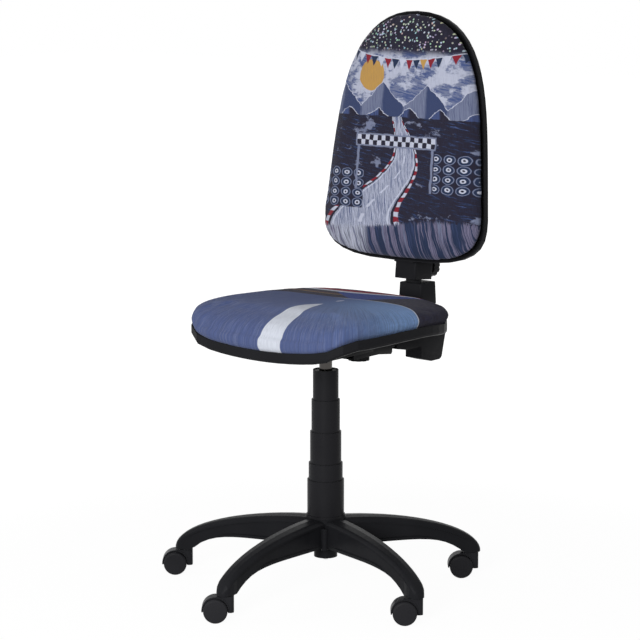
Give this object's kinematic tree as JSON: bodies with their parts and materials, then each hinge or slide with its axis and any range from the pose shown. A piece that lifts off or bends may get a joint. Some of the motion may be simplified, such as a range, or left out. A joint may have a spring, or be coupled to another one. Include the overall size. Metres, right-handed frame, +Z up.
{
  "type": "swivel task chair",
  "caption": "Armless child-size swivel chair with racing-style printed upholstery, tall telescopic gas column and star base on twin-wheel casters.",
  "frame": {"origin": "on the floor, under the axis of the gas column", "axes": "+Z up along the column; -Y is the chair's front, where the sitter faces; -X is the sitter's right, where the height lever is"},
  "size_m": [0.6939, 0.7848, 1.2172],
  "materials": {
    "base_plastic": "fine grained charcoal black nylon",
    "caster_plastic": "smooth charcoal plastic",
    "wheel_plastic": "fine textured dark grey plastic",
    "cover_plastic": "satin black plastic",
    "white_plastic": "natural bearing plastic",
    "knob_plastic": "black grip plastic",
    "shell_plastic": "fine grained black shell",
    "black_steel": "black powder coat",
    "bright_steel": "zinc plated",
    "chrome_steel": "polished",
    "seal_rubber": "matt black",
    "plywood": "bare plywood",
    "seat_fabric": "printed woven cloth over foam",
    "back_fabric": "printed woven cloth over foam"
  },
  "bodies": {
    "base": {"star_base": "base_plastic", "caster_stems": "bright_steel", "column_tube": "black_steel", "guide_bush": "white_plastic", "thrust_race": "bright_steel", "cover_stage_5": "cover_plastic"},
    "spindle": {"piston_rod": "bright_steel", "thrust_balls": "bright_steel", "thrust_cap": "bright_steel", "bump_rubber": "seal_rubber", "rod_clip": "bright_steel"},
    "seat_frame": {"gas_cylinder": "chrome_steel", "rod_gland": "seal_rubber", "taper_socket": "black_steel", "mech_housing": "black_steel", "pivot_shaft": "bright_steel", "back_spring": "bright_steel", "seat_bolts": "bright_steel", "seat_board": "plywood", "seat_pan": "shell_plastic", "seat_cushion": "seat_fabric"},
    "valve": {"valve_pin": "bright_steel"},
    "lever": {"lever_rod": "black_steel", "lever_paddle": "knob_plastic"},
    "recliner": {"back_bracket": "black_steel"},
    "depth_knob": {"depth_knob": "knob_plastic"},
    "back_post": {"back_bar": "black_steel", "elbow_cover": "shell_plastic", "post_sleeve": "shell_plastic"},
    "backrest": {"back_carriage": "shell_plastic", "back_screws": "bright_steel", "back_board": "plywood", "back_shell": "shell_plastic", "back_cushion": "back_fabric"},
    "height_knob": {"height_knob": "knob_plastic"},
    "stage_1": {"cover_stage_1": "cover_plastic"},
    "stage_2": {"cover_stage_2": "cover_plastic"},
    "stage_3": {"cover_stage_3": "cover_plastic"},
    "stage_4": {"cover_stage_4": "cover_plastic"},
    "caster_1": {"caster_fork_1": "caster_plastic", "caster_axle_1": "bright_steel"},
    "wheel_left_1": {"caster_wheel_left_1": "wheel_plastic"},
    "wheel_right_1": {"caster_wheel_right_1": "wheel_plastic"},
    "caster_2": {"caster_fork_2": "caster_plastic", "caster_axle_2": "bright_steel"},
    "wheel_left_2": {"caster_wheel_left_2": "wheel_plastic"},
    "wheel_right_2": {"caster_wheel_right_2": "wheel_plastic"},
    "caster_3": {"caster_fork_3": "caster_plastic", "caster_axle_3": "bright_steel"},
    "wheel_left_3": {"caster_wheel_left_3": "wheel_plastic"},
    "wheel_right_3": {"caster_wheel_right_3": "wheel_plastic"},
    "caster_4": {"caster_fork_4": "caster_plastic", "caster_axle_4": "bright_steel"},
    "wheel_left_4": {"caster_wheel_left_4": "wheel_plastic"},
    "wheel_right_4": {"caster_wheel_right_4": "wheel_plastic"},
    "caster_5": {"caster_fork_5": "caster_plastic", "caster_axle_5": "bright_steel"},
    "wheel_left_5": {"caster_wheel_left_5": "wheel_plastic"},
    "wheel_right_5": {"caster_wheel_right_5": "wheel_plastic"}
  },
  "joints": [
    {"name": "swivel", "type": "hinge", "parent": "base", "child": "spindle", "pos_m": [0, 0, 0.076], "axis": [0, 0, 1], "continuous": true},
    {"name": "height", "type": "slide", "parent": "spindle", "child": "seat_frame", "axis": [0, 0, 1], "range_m": [-0.17, 0.025]},
    {"name": "stage_1_slide", "type": "slide", "parent": "base", "child": "stage_1", "axis": [0, 0, 1], "range_m": [-0.14535, 0.02167]},
    {"name": "stage_2_slide", "type": "slide", "parent": "base", "child": "stage_2", "axis": [0, 0, 1], "range_m": [-0.10901, 0.01626]},
    {"name": "stage_3_slide", "type": "slide", "parent": "base", "child": "stage_3", "axis": [0, 0, 1], "range_m": [-0.07268, 0.01084]},
    {"name": "stage_4_slide", "type": "slide", "parent": "base", "child": "stage_4", "axis": [0, 0, 1], "range_m": [-0.03634, 0.00542]},
    {"name": "caster_1_swivel", "type": "hinge", "parent": "base", "child": "caster_1", "pos_m": [0, -0.328, 0.054], "axis": [0, 0, 1], "continuous": true},
    {"name": "wheel_left_1_spin", "type": "hinge", "parent": "caster_1", "child": "wheel_left_1", "pos_m": [-0.01644, -0.34107, 0.025], "axis": [0.6225, -0.7826, 0], "continuous": true},
    {"name": "wheel_right_1_spin", "type": "hinge", "parent": "caster_1", "child": "wheel_right_1", "pos_m": [-0.01644, -0.34107, 0.025], "axis": [0.6225, -0.7826, 0], "continuous": true},
    {"name": "caster_2_swivel", "type": "hinge", "parent": "base", "child": "caster_2", "pos_m": [0.31195, -0.10136, 0.054], "axis": [0, 0, 1], "continuous": true},
    {"name": "wheel_left_2_spin", "type": "hinge", "parent": "caster_2", "child": "wheel_left_2", "pos_m": [0.29551, -0.11443, 0.025], "axis": [0.6225, -0.7826, 0], "continuous": true},
    {"name": "wheel_right_2_spin", "type": "hinge", "parent": "caster_2", "child": "wheel_right_2", "pos_m": [0.29551, -0.11443, 0.025], "axis": [0.6225, -0.7826, 0], "continuous": true},
    {"name": "caster_3_swivel", "type": "hinge", "parent": "base", "child": "caster_3", "pos_m": [0.19279, 0.26536, 0.054], "axis": [0, 0, 1], "continuous": true},
    {"name": "wheel_left_3_spin", "type": "hinge", "parent": "caster_3", "child": "wheel_left_3", "pos_m": [0.17636, 0.25228, 0.025], "axis": [0.6225, -0.7826, 0], "continuous": true},
    {"name": "wheel_right_3_spin", "type": "hinge", "parent": "caster_3", "child": "wheel_right_3", "pos_m": [0.17636, 0.25228, 0.025], "axis": [0.6225, -0.7826, 0], "continuous": true},
    {"name": "caster_4_swivel", "type": "hinge", "parent": "base", "child": "caster_4", "pos_m": [-0.19279, 0.26536, 0.054], "axis": [0, 0, 1], "continuous": true},
    {"name": "wheel_left_4_spin", "type": "hinge", "parent": "caster_4", "child": "wheel_left_4", "pos_m": [-0.20923, 0.25228, 0.025], "axis": [0.6225, -0.7826, 0], "continuous": true},
    {"name": "wheel_right_4_spin", "type": "hinge", "parent": "caster_4", "child": "wheel_right_4", "pos_m": [-0.20923, 0.25228, 0.025], "axis": [0.6225, -0.7826, 0], "continuous": true},
    {"name": "caster_5_swivel", "type": "hinge", "parent": "base", "child": "caster_5", "pos_m": [-0.31195, -0.10136, 0.054], "axis": [0, 0, 1], "continuous": true},
    {"name": "wheel_left_5_spin", "type": "hinge", "parent": "caster_5", "child": "wheel_left_5", "pos_m": [-0.32838, -0.11443, 0.025], "axis": [0.6225, -0.7826, 0], "continuous": true},
    {"name": "wheel_right_5_spin", "type": "hinge", "parent": "caster_5", "child": "wheel_right_5", "pos_m": [-0.32838, -0.11443, 0.025], "axis": [0.6225, -0.7826, 0], "continuous": true},
    {"name": "lever_turn", "type": "hinge", "parent": "seat_frame", "child": "lever", "pos_m": [-0.0395, -0.02, 0.5473], "axis": [-1, 0, 0], "range_deg": [0, 7], "stiffness_Nm_per_rad": 0.6, "springref_deg": -14.32},
    {"name": "valve_press", "type": "slide", "parent": "seat_frame", "child": "valve", "axis": [0, 0, -1], "range_m": [0, 0.0026]},
    {"name": "back_recline", "type": "hinge", "parent": "seat_frame", "child": "recliner", "pos_m": [0, 0.07, 0.519], "axis": [-1, 0, 0], "range_deg": [0, 12], "stiffness_Nm_per_rad": 60, "springref_deg": -22.92},
    {"name": "back_depth", "type": "slide", "parent": "recliner", "child": "back_post", "axis": [0, 1, 0], "range_m": [-0.02, 0.03]},
    {"name": "depth_knob_turn", "type": "hinge", "parent": "recliner", "child": "depth_knob", "pos_m": [0, 0.115, 0.482], "axis": [0, 0, 1], "range_deg": [0, 720]},
    {"name": "back_height", "type": "slide", "parent": "back_post", "child": "backrest", "axis": [0, 0.1045, 0.9945], "range_m": [0, 0.06]},
    {"name": "height_knob_turn", "type": "hinge", "parent": "backrest", "child": "height_knob", "pos_m": [0, 0.34498, 0.65541], "axis": [0, 0.9945, -0.1045], "range_deg": [0, 720]}
  ],
  "couplings": [
    {"joint": "stage_1_slide", "follows": "height", "ratio": 0.85},
    {"joint": "stage_2_slide", "follows": "height", "ratio": 0.6375},
    {"joint": "stage_3_slide", "follows": "height", "ratio": 0.425},
    {"joint": "stage_4_slide", "follows": "height", "ratio": 0.2125},
    {"joint": "valve_press", "follows": "lever_turn", "m_per_rad": 0.02}
  ]
}
